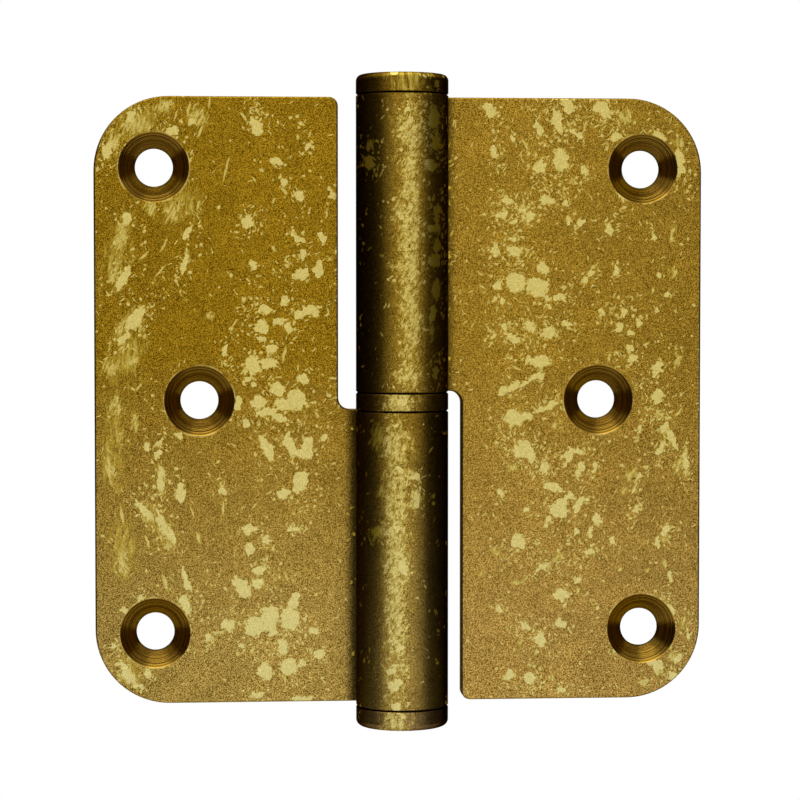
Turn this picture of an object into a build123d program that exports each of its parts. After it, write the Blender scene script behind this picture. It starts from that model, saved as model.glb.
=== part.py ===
from build123d import *
import os
from math import asin, degrees

# Lift-off hinge, 80 mm high, opened flat. The pin stands along Z, the leaves lie in the XZ plane with their
# countersunk faces towards -Y, the frame leaf at -X and the door leaf at +X. The origin is on the pin axis
# at mid-height. All sizes are in millimetres.

# Sheet leaves
LEAF_HEIGHT = 80.0
LEAF_REACH = 40.25
SHEET = 2.5
CORNER_RADIUS = 9.8
EDGE_BREAK = 0.2

# Slot beside the other leaf's knuckle
SLOT_EDGE = 8.2
SLOT_ROOT_RADIUS = 1.6
SLOT_END_RADIUS = 1.2

# Countersunk screw holes, measured from the pin axis and from mid-height
HOLE_RADIUS = 2.5
COUNTERSINK_RADIUS = 4.65
COUNTERSINK_DEPTH = 2.15
OUTER_HOLE_REACH = 32.4
OUTER_HOLE_SPACING = 61.4
MIDDLE_HOLE_REACH = 26.5

# Pin and rolled knuckle
PIN_RADIUS = 3.5
RUNNING_CLEARANCE = 0.05
SEAM_GAP = 0.25
PIN_NOSE_CHAMFER = 1.0
PIN_FOOT_CHAMFER = 0.5
NOSE_CLEARANCE = 1.0

# Bearing ring and end caps
RING_HEIGHT = 2.4
CAP_HEIGHT = 2.6
CAP_RADIUS = 6.05
CAP_EDGE_RADIUS = 0.8
SPIGOT_LENGTH = 5.0
SPIGOT_CHAMFER = 0.5

# Sizes that follow from those above
BORE_RADIUS = PIN_RADIUS + RUNNING_CLEARANCE
KNUCKLE_RADIUS = BORE_RADIUS + SHEET
LEAF_TOP = LEAF_HEIGHT / 2
KNUCKLE_END = RING_HEIGHT / 2
SPIGOT_END = LEAF_TOP - SPIGOT_LENGTH


def corners_at(sketch, *places):
    """The sketch's corner nearest to each of the given places."""
    return [sketch.vertices().sort_by_distance(Vector(*place))[0] for place in places]


def leaf_outline():
    """Door leaf from the front: a round-cornered panel, the knuckle's neck above and the slot below."""
    panel_width = LEAF_REACH - SLOT_EDGE
    neck_height = LEAF_TOP - KNUCKLE_END
    panel = Pos(SLOT_EDGE + panel_width / 2, 0) * Rectangle(panel_width, LEAF_HEIGHT)
    neck = Pos(SLOT_EDGE / 2, KNUCKLE_END + neck_height / 2) * Rectangle(SLOT_EDGE, neck_height)
    outline = panel + neck
    outline = fillet(corners_at(outline, (LEAF_REACH, LEAF_TOP), (LEAF_REACH, -LEAF_TOP)), CORNER_RADIUS)
    outline = fillet(corners_at(outline, (SLOT_EDGE, KNUCKLE_END)), SLOT_ROOT_RADIUS)
    return fillet(corners_at(outline, (SLOT_EDGE, -LEAF_TOP)), SLOT_END_RADIUS)


def screw_hole(reach, height):
    """Cutter for one countersunk hole, entered from the leaf's front face."""
    mouth = Plane(origin=(reach, BORE_RADIUS, height), z_dir=(0, 1, 0))
    base = (Align.CENTER, Align.CENTER, Align.MIN)
    shank = Cylinder(HOLE_RADIUS, SHEET, align=base)
    head = Cone(COUNTERSINK_RADIUS, HOLE_RADIUS, COUNTERSINK_DEPTH, align=base)
    return mouth * (shank + head)


def rolled_leaf():
    """Door leaf as one sheet: the flat, and the knuckle rolled from the flat's own edge section."""
    back = Plane.XZ.offset(-KNUCKLE_RADIUS)
    flat = extrude(back * leaf_outline(), SHEET)
    roll_start = flat.faces().sort_by(Axis.X)[0]
    rim = flat.edges() - flat.edges().filter_by(Axis.Y) - roll_start.edges()
    flat = chamfer(rim, EDGE_BREAK)
    # The roll ends where its outer corner comes back to within the seam of the leaf's front face.
    seam_angle = degrees(asin((BORE_RADIUS - SEAM_GAP) / KNUCKLE_RADIUS))
    roll_start = flat.faces().sort_by(Axis.X)[0]
    knuckle = revolve(roll_start, Axis.Z, 270 + seam_angle)
    leaf = flat + knuckle
    for reach, height in (
        (OUTER_HOLE_REACH, OUTER_HOLE_SPACING / 2),
        (MIDDLE_HOLE_REACH, 0),
        (OUTER_HOLE_REACH, -OUTER_HOLE_SPACING / 2),
    ):
        leaf -= screw_hole(reach, height)
    return leaf


def upright(radius, low, high):
    """Round bar on the pin axis between two heights."""
    bar = Cylinder(radius, high - low, align=(Align.CENTER, Align.CENTER, Align.MIN))
    return Pos(0, 0, low) * bar


def hinge_pin():
    """Pin with a thicker land pressed into the lower knuckle and a bevelled nose under the top cap."""
    land = upright(BORE_RADIUS, -SPIGOT_END, -KNUCKLE_END)
    land = chamfer(land.edges().sort_by(Axis.Z)[0], PIN_FOOT_CHAMFER)
    shank = upright(PIN_RADIUS, -KNUCKLE_END, SPIGOT_END - NOSE_CLEARANCE)
    shank = chamfer(shank.edges().sort_by(Axis.Z)[-1], PIN_NOSE_CHAMFER)
    return land + shank


def bearing_ring():
    """Ring between the knuckles, free on the pin."""
    ring = upright(KNUCKLE_RADIUS, -KNUCKLE_END, KNUCKLE_END)
    ring = chamfer(ring.edges().filter_by(GeomType.CIRCLE), EDGE_BREAK)
    return ring - upright(BORE_RADIUS, -KNUCKLE_END, KNUCKLE_END)


def top_cap():
    """Turned plug: a round-edged head on the knuckle's end and a spigot in its bore."""
    head = upright(CAP_RADIUS, LEAF_TOP, LEAF_TOP + CAP_HEIGHT)
    head = fillet(head.edges().filter_by(GeomType.CIRCLE).sort_by(Axis.Z)[-1], CAP_EDGE_RADIUS)
    head = chamfer(head.edges().filter_by(GeomType.CIRCLE).sort_by(Axis.Z)[0], EDGE_BREAK)
    spigot = upright(BORE_RADIUS, SPIGOT_END, LEAF_TOP)
    spigot = chamfer(spigot.edges().sort_by(Axis.Z)[0], SPIGOT_CHAMFER)
    return head + spigot


# The frame leaf and the bottom cap are the same pieces turned end for end about the Y axis.
turned_over = Rot(0, 180, 0)
door_leaf = rolled_leaf()
upper_plug = top_cap()
pieces = {
    "frame_leaf": turned_over * door_leaf,
    "door_leaf": door_leaf,
    "hinge_pin": hinge_pin(),
    "bearing_ring": bearing_ring(),
    "top_cap": upper_plug,
    "bottom_cap": turned_over * upper_plug,
}

os.makedirs("parts", exist_ok=True)
for name, piece in pieces.items():
    export_step(piece, f"parts/{name}.step")
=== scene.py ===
import logging
import math
from dataclasses import dataclass
from enum import Enum
from typing import NamedTuple, Optional, Union

import bpy
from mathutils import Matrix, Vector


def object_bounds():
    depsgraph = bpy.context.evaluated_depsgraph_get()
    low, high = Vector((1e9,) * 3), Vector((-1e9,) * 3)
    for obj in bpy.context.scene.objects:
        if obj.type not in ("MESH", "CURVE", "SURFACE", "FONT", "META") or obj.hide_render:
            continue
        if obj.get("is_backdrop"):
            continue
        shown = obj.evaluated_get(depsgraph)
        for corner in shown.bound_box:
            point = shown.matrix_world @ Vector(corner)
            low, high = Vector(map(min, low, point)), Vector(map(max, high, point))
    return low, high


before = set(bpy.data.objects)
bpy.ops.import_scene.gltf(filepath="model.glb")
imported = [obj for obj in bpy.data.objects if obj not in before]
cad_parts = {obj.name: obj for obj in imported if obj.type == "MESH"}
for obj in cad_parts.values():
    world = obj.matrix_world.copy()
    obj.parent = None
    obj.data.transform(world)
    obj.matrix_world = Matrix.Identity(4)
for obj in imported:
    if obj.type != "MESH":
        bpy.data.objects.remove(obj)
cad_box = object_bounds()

log = logging.getLogger("lift_off_hinge")

Socket = bpy.types.NodeSocket
Setting = Union[float, tuple, Socket]
Triple = tuple[float, float, float]

# A millimetre in metres.
MM = 0.001
# Marks on a hidden face lie on a stretch of sheet this far off, in millimetres, so that none shows twice.
STRETCH = 300.0
# A distance past every mark, to start from when the nearest one is looked for.
FAR = 9.0


class Node(Enum):
    """Kinds of shader node in use: the type and, for some, the property that picks what the node does."""

    ABSOLUTE = "Math", "operation", "ABSOLUTE"
    ADD = "Math", "operation", "ADD"
    ARCTAN2 = "Math", "operation", "ARCTAN2"
    BACKGROUND = ("Background",)
    BLEND = "Mix", "data_type", "FLOAT"
    BLEND_COLOUR = "Mix", "data_type", "RGBA"
    BLEND_VECTOR = "Mix", "data_type", "VECTOR"
    BUMP = ("Bump",)
    COMBINE = ("CombineXYZ",)
    COMPARE = "Math", "operation", "COMPARE"
    COORDINATES = ("TexCoord",)
    DIFFUSE = ("BsdfDiffuse",)
    DIVIDE = "Math", "operation", "DIVIDE"
    EMISSION = ("Emission",)
    GREATER = "Math", "operation", "GREATER_THAN"
    LESS = "Math", "operation", "LESS_THAN"
    LIGHT_PATH = ("LightPath",)
    MAXIMUM = "Math", "operation", "MAXIMUM"
    MINIMUM = "Math", "operation", "MINIMUM"
    MIX_SHADER = ("MixShader",)
    MULTIPLY = "Math", "operation", "MULTIPLY"
    MULTIPLY_ADD = "Math", "operation", "MULTIPLY_ADD"
    NOISE_1D = "TexNoise", "noise_dimensions", "1D"
    NOISE_2D = "TexNoise", "noise_dimensions", "2D"
    NOISE_3D = "TexNoise", "noise_dimensions", "3D"
    PRINCIPLED = ("BsdfPrincipled",)
    RANGE = ("MapRange",)
    ROTATE_Z = "VectorRotate", "rotation_type", "Z_AXIS"
    SEPARATE = ("SeparateXYZ",)
    SUBTRACT = "Math", "operation", "SUBTRACT"
    SURFACE = ("OutputMaterial",)
    VECTOR_ADD = "VectorMath", "operation", "ADD"
    VECTOR_DISTANCE = "VectorMath", "operation", "DISTANCE"
    VECTOR_LENGTH = "VectorMath", "operation", "LENGTH"
    VECTOR_MULTIPLY = "VectorMath", "operation", "MULTIPLY"
    VECTOR_MULTIPLY_ADD = "VectorMath", "operation", "MULTIPLY_ADD"
    VECTOR_SCALE = "VectorMath", "operation", "SCALE"
    VORONOI_2D = "TexVoronoi", "voronoi_dimensions", "2D"
    WORLD = ("OutputWorld",)


def linear(hex_colour: str) -> tuple[float, float, float, float]:
    """Turn an sRGB hex colour into linear RGBA.

    Args:
        hex_colour: Colour such as "#92701e".

    Returns:
        Red, green, blue and an alpha of 1, linear.
    """
    channels = [int(hex_colour[i:i + 2], 16) / 255 for i in (1, 3, 5)]
    red, green, blue = (c / 12.92 if c <= 0.04045 else ((c + 0.055) / 1.055) ** 2.4 for c in channels)
    return red, green, blue, 1.0


class Graph:
    """A node tree that is filled one node at a time."""

    def __init__(self, tree: bpy.types.NodeTree) -> None:
        """Start from an empty tree."""
        self.tree = tree
        tree.nodes.clear()

    def add(self, kind: Node, inputs: Union[dict, tuple] = (), out: str = "",
            **settings: object) -> Optional[Socket]:
        """Add one node with its settings and links.

        Args:
            kind: Kind of node.
            inputs: Value or source socket for each input in use, in the node's order or by name.
            out: Name of the output to hand back; the first one in use if left empty.
            **settings: Further properties of the node.

        Returns:
            The output socket asked for, or None on a node that has none.
        """
        name, *choice = kind.value
        node = self.tree.nodes.new("ShaderNode" + name)
        if choice:
            setattr(node, *choice)
        for key, value in settings.items():
            setattr(node, key, value)
        sockets = [socket for socket in node.inputs if socket.enabled]
        if isinstance(inputs, dict):
            sockets = [next(s for s in sockets if s.name == key) for key in inputs]
            inputs = tuple(inputs.values())
        for socket, value in zip(sockets, inputs):
            if isinstance(value, Socket):
                self.tree.links.new(value, socket)
            else:
                socket.default_value = value
        if out:
            return node.outputs[out]
        return next((socket for socket in node.outputs if socket.enabled), None)


def coat(piece: bpy.types.Object, name: str) -> Graph:
    """Give a piece a new material.

    Args:
        piece: Object that has this material alone.
        name: Name of the material.

    Returns:
        The material's empty graph.
    """
    material = bpy.data.materials.new(name)
    material.use_nodes = True
    piece.data.materials.clear()
    piece.data.materials.append(material)
    return Graph(material.node_tree)


class Fade(NamedTuple):
    """A value that goes from first to last while another one goes from start to end."""

    start: float
    end: float
    first: float = 0.0
    last: float = 1.0


class Rub(NamedTuple):
    """A rubbed patch, read off the sheet, in millimetres and in degrees from upright.

    On a knuckle it is placed along the roll, from the barrel's foremost line.
    """

    across: float
    height: float
    width: float
    length: float
    lean: float = 0.0


class Hole(NamedTuple):
    """The place of a countersunk hole on its leaf, in millimetres."""

    across: float
    height: float


class Tone(NamedTuple):
    """Colours of a surface at the top and at the foot of the hinge; the paler foot colour is painted glare.
    """

    upper: str
    lower: str


class Wobble(NamedTuple):
    """Size of the pushes that bring outlines out of true, and how far they push, in millimetres."""

    size: float
    push: float


class Stroke(NamedTuple):
    """The strokes of a soft patch.

    Attributes:
        width: Width in millimetres.
        length: Length in millimetres.
        detail: How many times finer strokes lie in the broad ones.
        fineness: How strong the finer ones are.
        press: How hard the patch is rubbed at its middle.
        fade: How softly a stroke ends.
        most: How bare a stroke is at most.
    """

    width: float
    length: float
    detail: float
    fineness: float
    press: float
    fade: float
    most: float


@dataclass(frozen=True)
class Wear:
    """Where one piece is rubbed.

    Attributes:
        specks: How thick the loose specks lie.
        chips: Patches where the dark plating is gone.
        scratches: Thin bright lines.
        scuffs: Patches that are hatched by many light strokes.
        haze: Wide patches that are drawn over with faint strokes.
        drag: Lean of those strokes from upright in degrees.
        sheen_and_highlight: Patches of a knuckle that are rubbed bright in fine flecks, along its lit front:
            partly a painted highlight.
        unworn_and_shaded: Side of the roll that is darker, from plating left dark and from painted shade, -1
            or 1, or 0 for neither.
    """

    specks: float
    chips: tuple[Rub, ...] = ()
    scratches: tuple[Rub, ...] = ()
    scuffs: tuple[Rub, ...] = ()
    haze: tuple[Rub, ...] = ()
    drag: float = 0.0
    sheen_and_highlight: tuple[Rub, ...] = ()
    unworn_and_shaded: int = 0


@dataclass(frozen=True)
class AntiquedBrass:
    """Brass plate on steel, darkened in a chemical bath and rubbed back by hand.

    The plate is matt and sandy from the blasting under it, so it is brown-gold with a fine grain. Where the
    rubbing cut through, bare brass shows as pale yellow chips with jagged edges and less grain.
    """

    # The darkened plate, bare brass, half-rubbed plate in the open and on the barrel's sides, where it is
    # lighter as a painted highlight against the dim light there, the countersinks, the tint at a grazing
    # angle, and old dirt.
    tone: Tone
    pale: Tone = Tone("#dfcb74", "#e2d386")
    half: str = "#bb9f38"
    flank_half_highlight: str = "#d2b43c"
    turned: str = "#a07c2c"
    grazing: str = "#6b5526"
    dirt: str = "#1a0d05"
    # Gain of the plate's red, green and blue in the pits of the grain and on its tops.
    sand_dark: Triple = (0.34, 0.27, 0.0)
    sand_light: Triple = (2.20, 2.32, 3.05)
    roughness: float = 0.40
    pale_roughness: float = 0.42
    sunk_roughness: float = 0.20

    # Sizes of the hinge in millimetres: the barrel, the sheet, the countersinks with their depth and a little
    # of the straight wall under it, and the heights of the joints in the barrel.
    barrel_radius: float = 6.05
    front_face: float = 3.55
    sheet: float = 2.5
    sink_radius: float = 4.65
    sink_depth: float = 2.23
    joints: tuple[float, ...] = (-40.0, -1.2, 1.2, 40.0)
    # Margins for telling its faces apart: at any edge, just under the front face, on the round edge of a cap,
    # under the barrel's skin, and along the roll to where the back begins.
    margin: float = 0.1
    skim: float = 0.02
    cap_edge: float = 0.85
    skin: float = 1.0
    behind_arc: float = 7.4

    # Blasted grain, drawn coarser than it is so that it shows, and the cloudiness of the bath.
    grain_mm: float = 0.075
    cloud_mm: float = 4.0
    relief: float = 0.22
    relief_mm: float = 0.03
    sand: Fade = Fade(0.43, 0.63)
    glint: Fade = Fade(0.32, 0.68, 0.72, 1.20)
    cloud: Fade = Fade(0.3, 0.7, 0.90, 1.10)
    # Rings of the cutter in a countersink and of the lathe on a turned piece, and how deep they stand.
    sink_rings_per_mm: float = 6.5
    lathe_rings_per_mm: float = 3.2
    sink_ring_depth: float = 5.0
    lathe_ring_depth: float = 1.6
    ring_tone: Fade = Fade(0.3, 0.7, 0.35, 1.60)
    # The pale rim of a countersink: plating broken off in places, and a painted highlight along the edge.
    lip_offset: float = 0.06
    lip_width: float = 0.10
    lip_chip_mm: float = 1.8
    lip: Fade = Fade(0.46, 0.66, 0.0, 0.6)

    # Where the plate is lighter or darker: paler down the hinge, which is painted glare; darker on one side
    # of a knuckle, plating left dark and painted shade; darker towards the outer side of a leaf, painted
    # shade; darker round the barrel, most on its sides, painted shade that lifts again at its back; darker
    # beside the barrel, dark patina and painted shade in the corner; darker on cut sides and in the joints.
    glare_drop: Fade = Fade(6.0, -30.0)
    kept_plate_and_shade: Fade = Fade(0.8, 3.2, 1.0, 0.5)
    outer: Fade = Fade(18.0, 36.0, 1.0, 0.88)
    flank_shade: Fade = Fade(2.6, 6.4, 0.80, 0.24)
    back: Fade = Fade(9.5, 13.0, 0.0, 0.75)
    corner: Fade = Fade(6.2, 7.4, 0.2)
    cut_gain: float = 0.6
    grime: Fade = Fade(0.17, 0.07)

    # Rubbing: from the plate to half-rubbed, on to bare brass, and how open to the hand a place has to be.
    half_rubbed: Fade = Fade(0.0, 0.55)
    rubbed_bare: Fade = Fade(0.45, 1.0)
    worn: Fade = Fade(0.62, 0.78)
    lobes: Wobble = Wobble(2.4, 0.18)
    fray: Wobble = Wobble(0.8, 0.10)
    scratch_fray: Wobble = Wobble(0.8, 0.09)
    # Chips: the flats that they break along, how far they follow those, and the flakes that bite their edges.
    chip_mm: float = 0.60
    chip_snap: float = 0.55
    flake_mm: float = 0.45
    flake_bite: float = 0.65
    chip_edge: Fade = Fade(1.48, 1.31)
    scratch_edge: Fade = Fade(1.25, 0.6, 0.0, 0.85)
    # Soft patches: the level at which a stroke shows, and how the press falls off in half sizes of the patch.
    stroke_level: float = 0.84
    press_near: float = 0.3
    press_far: float = 1.4
    scuff: Stroke = Stroke(width=0.32, length=1.2, detail=3, fineness=0.7, press=0.42, fade=0.22, most=0.85)
    # Rubbed flecks on the lit front of the knuckles, the ring and the bottom cap, partly a painted highlight.
    sheen_and_highlight: Stroke = Stroke(width=0.62, length=1.0, detail=4, fineness=0.95, press=0.365, fade=0.16, most=1.0)
    haze: Stroke = Stroke(width=0.5, length=2.4, detail=4, fineness=0.75, press=0.33, fade=0.26, most=0.65)
    scuff_leans: tuple[float, float] = (22.0, -18.0)
    sheen_and_highlight_lean: float = 30.0
    # Specks and short scores: the cells that hold one each, how they gather, how thick they lie from a chip
    # outwards, and the size and edge of a mark in its cell.
    speck_mm: tuple[float, float] = (0.80, 0.80)
    score_mm: tuple[float, float] = (0.32, 1.3)
    score_leans: tuple[float, ...] = (25.0, -35.0, 65.0)
    score_share: float = 0.40
    gather_mm: float = 6.0
    gather: Fade = Fade(0.35, 0.65, 0.2, 1.8)
    strewing: Fade = Fade(1.0, 4.5, 0.48, 0.04)
    mark_reach: Fade = Fade(0.0, 1.0, 0.10, 0.34)
    mark_edge: Fade = Fade(1.15, 0.65, 0.0, 0.9)


class Plating:
    """Antiqued brass being drawn on one piece, for which the rolled sheet is laid out flat.

    Attributes:
        look: The finish.
        add: Adds a node to the material.
        mm: The point in the hinge's frame, in millimetres like all that follow.
        x: Its distance across the leaves.
        y: Its depth.
        z: Its height.
        radius: Its distance from the pin axis.
        rolled: Whether it is on the barrel.
        across: Its distance across the flat sheet.
        off: The same without its sign.
        sheared: Whether it is on a cut side of the sheet.
        sheet: The point on the flat sheet.
    """

    def __init__(self, look: AntiquedBrass, graph: Graph) -> None:
        """Lay the sheet out flat.

        Args:
            look: The finish.
            graph: Graph of the material.
        """
        self.look = look
        self.add = add = graph.add
        origin = add(Node.COORDINATES, out="Object")
        self.mm = add(Node.VECTOR_MULTIPLY, (origin, (1 / MM,) * 3))
        self.x, self.y, self.z = add(Node.SEPARATE, (self.mm,)).node.outputs
        level = add(Node.VECTOR_MULTIPLY, (self.mm, (1, 1, 0)))
        self.radius = add(Node.VECTOR_LENGTH, (level,))
        self.rolled = add(Node.LESS, (self.radius, look.barrel_radius + look.margin))
        forward = add(Node.MULTIPLY, (self.y, -1.0))
        turn = add(Node.ARCTAN2, (self.x, forward))
        arc = add(Node.MULTIPLY, (turn, look.barrel_radius))
        self.across = add(Node.BLEND, (self.rolled, self.x, arc))
        self.off = add(Node.ABSOLUTE, (self.across,))
        middle = look.front_face + look.sheet / 2
        sheared = add(Node.COMPARE, (self.y, middle, look.sheet / 2 - look.margin))
        self.sheared = add(Node.SUBTRACT, (sheared, self.rolled), use_clamp=True)
        rear = add(Node.GREATER, (self.y, middle))
        rear = add(Node.SUBTRACT, (rear, self.rolled), use_clamp=True)
        aside = add(Node.ABSOLUTE, (arc,))
        behind = add(Node.GREATER, (aside, look.behind_arc))
        behind = add(Node.MULTIPLY, (behind, self.rolled))
        ends = add(Node.LESS, (self.radius, look.barrel_radius - look.cap_edge))
        slip = add(Node.COMBINE, (self.y, self.y))
        sheet = add(Node.COMBINE, (self.across, self.z))
        aslant = add(Node.VECTOR_ADD, (sheet, slip))
        # Each face that the front view hides has a stretch of the sheet to itself.
        stretches = ((rear, sheet), (behind, sheet), (ends, self.mm), (self.sheared, aslant))
        for number, (face, start) in enumerate(stretches, 1):
            away = add(Node.VECTOR_ADD, (start, (0, number * STRETCH, 0)))
            sheet = add(Node.BLEND_VECTOR, (face, sheet, away))
        self.sheet = sheet

    def lay(self, wear: Wear, holes: tuple[Hole, ...] = (), lathe: bool = False) -> None:
        """Draw the whole finish.

        Args:
            wear: Where the piece is rubbed.
            holes: Countersunk holes in it.
            lathe: Whether the piece was turned, so that fine rings run round it.
        """
        look, add = self.look, self.add
        grain = add(Node.NOISE_3D, {"Vector": self.mm, "Scale": 1 / look.grain_mm, "Detail": 0.0})
        bare = self.bared(wear)
        colour = self.colour(grain, bare, wear.unworn_and_shaded)
        roughness = add(Node.RANGE, (bare, 0.0, 1.0, look.roughness, look.pale_roughness))
        height = grain
        if holes:
            colour, sunk, rings = self.countersunk(colour, holes)
            dark = add(Node.VECTOR_SCALE, (colour, look.cut_gain))
            colour = add(Node.BLEND_COLOUR, (self.sheared, colour, dark))
            roughness = add(Node.BLEND, (sunk, roughness, look.sunk_roughness))
            height = add(Node.MULTIPLY_ADD, (rings, look.sink_ring_depth, grain))
        if lathe:
            rings = add(Node.NOISE_1D, {"W": self.z, "Scale": look.lathe_rings_per_mm, "Detail": 3.0})
            height = add(Node.MULTIPLY_ADD, (rings, look.lathe_ring_depth, grain))
        colour = self.grimed(colour)
        normal = add(Node.BUMP, {"Strength": look.relief, "Distance": look.relief_mm * MM, "Height": height})
        metal = add(Node.PRINCIPLED, {"Base Color": colour, "Metallic": 1.0, "Roughness": roughness,
                                      "Specular Tint": linear(look.grazing), "Normal": normal})
        add(Node.SURFACE, {"Surface": metal})

    def bared(self, wear: Wear) -> Setting:
        """Find how far the dark plating is rubbed off.

        Args:
            wear: Where the piece is rubbed.

        Returns:
            How bare the point is, from 0 to 1.
        """
        look = self.look
        bent = self.warped(self.sheet, look.lobes)
        frayed = self.warped(bent, look.fray)
        near: Setting = FAR
        layers = []
        if wear.chips:
            chips, near = self.chipped(frayed, wear.chips)
            layers.append(chips)
        if wear.scratches:
            fine = self.warped(self.sheet, look.scratch_fray)
            inside = self.nearest(fine, wear.scratches)
            layers.append(self.add(Node.RANGE, (inside, *look.scratch_edge)))
        upright = tuple(rub for rub in wear.scuffs if rub.lean >= 0)
        leaning = tuple(rub for rub in wear.scuffs if rub.lean < 0)
        soft = ((upright, look.scuff, look.scuff_leans[0]), (leaning, look.scuff, look.scuff_leans[1]),
                (wear.sheen_and_highlight, look.sheen_and_highlight, look.sheen_and_highlight_lean), (wear.haze, look.haze, wear.drag))
        layers += [self.scuffed(bent, *patches) for patches in soft if patches[0]]
        layers += self.strewn(frayed, near, wear.specks)
        bare: Setting = 0.0
        for layer in layers:
            bare = self.add(Node.MAXIMUM, (bare, layer))
        return bare

    def warped(self, sheet: Socket, wobble: Wobble) -> Socket:
        """Push places on the sheet about, so that outlines drawn with them come out irregular.

        Args:
            sheet: Place on the flat sheet.
            wobble: Size and reach of the pushes.

        Returns:
            The pushed place.
        """
        inputs = {"Vector": sheet, "Scale": 1 / wobble.size, "Detail": 1.0}
        noise = self.add(Node.NOISE_2D, inputs, out="Color")
        # The noise keeps within about a quarter of its middle, 0.5.
        span = 4 * wobble.push
        push = self.add(Node.VECTOR_MULTIPLY_ADD, (noise, (span, span, 0), (-span / 2, -span / 2, 0)))
        return self.add(Node.VECTOR_ADD, (sheet, push))

    def chipped(self, frayed: Socket, chips: tuple[Rub, ...]) -> tuple[Socket, Setting]:
        """Break the plating off in chips.

        Args:
            frayed: The place with its wobble.
            chips: The chips.

        Returns:
            How bare the point is, and how far off the nearest chip is in half sizes of it.
        """
        look, add = self.look, self.add
        cell = add(Node.VORONOI_2D, {"Vector": frayed, "Scale": 1 / look.chip_mm}, out="Position")
        angular = add(Node.BLEND_VECTOR, (look.chip_snap, frayed, cell))
        near = self.nearest(angular, chips)
        flake = add(Node.NOISE_2D, {"Vector": self.sheet, "Scale": 1 / look.flake_mm, "Detail": 2.0})
        edge = add(Node.MULTIPLY_ADD, (flake, look.flake_bite, near))
        return add(Node.RANGE, (edge, *look.chip_edge), interpolation_type="SMOOTHSTEP"), near

    def scuffed(self, bent: Socket, patches: tuple[Rub, ...], stroke: Stroke, lean: float) -> Socket:
        """Hatch soft patches with light strokes.

        Args:
            bent: The place with its broad wobble.
            patches: The patches.
            stroke: The strokes that they are made of.
            lean: Lean of the strokes from upright in degrees.

        Returns:
            How bare the point is.
        """
        look, add = self.look, self.add
        near = self.nearest(bent, patches)
        press = add(Node.RANGE, (near, look.press_near, look.press_far, stroke.press, 0.0))
        drawn = self.drawn(self.sheet, lean, (stroke.width, stroke.length))
        fibre = add(Node.NOISE_2D, {"Vector": drawn, "Scale": 1.0, "Detail": stroke.detail,
                                    "Roughness": stroke.fineness})
        level = add(Node.ADD, (fibre, press))
        ends = (look.stroke_level - stroke.fade / 2, look.stroke_level + stroke.fade / 2)
        return add(Node.RANGE, (level, *ends, 0.0, stroke.most))

    def drawn(self, sheet: Socket, lean: float, size: tuple[float, float]) -> Socket:
        """Count a place on the sheet in cells of a lean in degrees and a width and length in millimetres."""
        slant = self.add(Node.ROTATE_Z, {"Vector": sheet, "Angle": math.radians(lean)})
        return self.add(Node.VECTOR_MULTIPLY, (slant, (1 / size[0], 1 / size[1], 0)))

    def strewn(self, frayed: Socket, near: Setting, specks: float) -> list[Socket]:
        """Strew loose specks and short scores, thickest round the chips.

        Args:
            frayed: The place with its wobble.
            near: How far off the nearest chip is, in half sizes of it.
            specks: How thick they lie.

        Returns:
            How bare the point is, for the specks and for each direction of scores.
        """
        look, add = self.look, self.add
        broad = add(Node.NOISE_2D, {"Vector": self.sheet, "Scale": 1 / look.gather_mm, "Detail": 2.0})
        gather = add(Node.RANGE, (broad, *look.gather))
        start, end, most, least = look.strewing
        thick = add(Node.RANGE, (near, start, end, most * specks, least * specks))
        chance = add(Node.MULTIPLY, (gather, thick))
        rarer = add(Node.MULTIPLY, (chance, look.score_share))
        scores = [self.sprinkle(self.drawn(frayed, lean, look.score_mm), rarer) for lean in look.score_leans]
        return [self.sprinkle(self.drawn(frayed, 0.0, look.speck_mm), chance), *scores]

    def sprinkle(self, drawn: Socket, chance: Socket) -> Socket:
        """Sprinkle small marks of one shape.

        Args:
            drawn: The place, counted in cells.
            chance: Share of the cells that hold a mark.

        Returns:
            How bare the point is.
        """
        look, add = self.look, self.add
        cells = add(Node.VORONOI_2D, {"Vector": drawn, "Scale": 1.0}).node.outputs
        lot = add(Node.SEPARATE, (cells["Color"],)).node.outputs
        held = add(Node.LESS, (lot["X"], chance))
        reach = add(Node.RANGE, (lot["Y"], *look.mark_reach))
        inside = add(Node.DIVIDE, (cells["Distance"], reach))
        mark = add(Node.RANGE, (inside, *look.mark_edge))
        return add(Node.MULTIPLY, (mark, held))

    def nearest(self, sheet: Socket, patches: tuple[Rub, ...]) -> Setting:
        """Measure how far off the nearest patch is, in half sizes of that patch.

        Args:
            sheet: Place on the flat sheet.
            patches: The patches.

        Returns:
            The distance: below 1 inside a patch.
        """
        near: Setting = FAR
        for lean in sorted({rub.lean for rub in patches}):
            angle = math.radians(lean)
            turned = self.add(Node.ROTATE_Z, {"Vector": sheet, "Angle": angle})
            for rub in (r for r in patches if r.lean == lean):
                wide, tall = 2 / rub.width, 2 / rub.length
                side = rub.across * math.cos(angle) - rub.height * math.sin(angle)
                rise = rub.across * math.sin(angle) + rub.height * math.cos(angle)
                middle = (-side * wide, -rise * tall, 0)
                local = self.add(Node.VECTOR_MULTIPLY_ADD, (turned, (wide, tall, 0), middle))
                off = self.add(Node.VECTOR_LENGTH, (local,))
                near = self.add(Node.MINIMUM, (near, off))
        return near

    def colour(self, grain: Socket, bare: Setting, unworn_and_shaded: int) -> Socket:
        """Colour the darkened plate and the bare brass.

        Args:
            grain: The sandy grain, about 0.5.
            bare: How bare the point is.
            unworn_and_shaded: Side of the roll that is darker, from plating left dark and from painted shade,
                or 0.

        Returns:
            The colour.
        """
        look, add = self.look, self.add
        reach_and_shade = self.reach_and_shade()
        plate = self.patina(grain, reach_and_shade, unworn_and_shaded)
        glint = add(Node.RANGE, (grain, *look.glint))
        pale = add(Node.VECTOR_SCALE, (self.toned(look.pale), glint))
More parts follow.
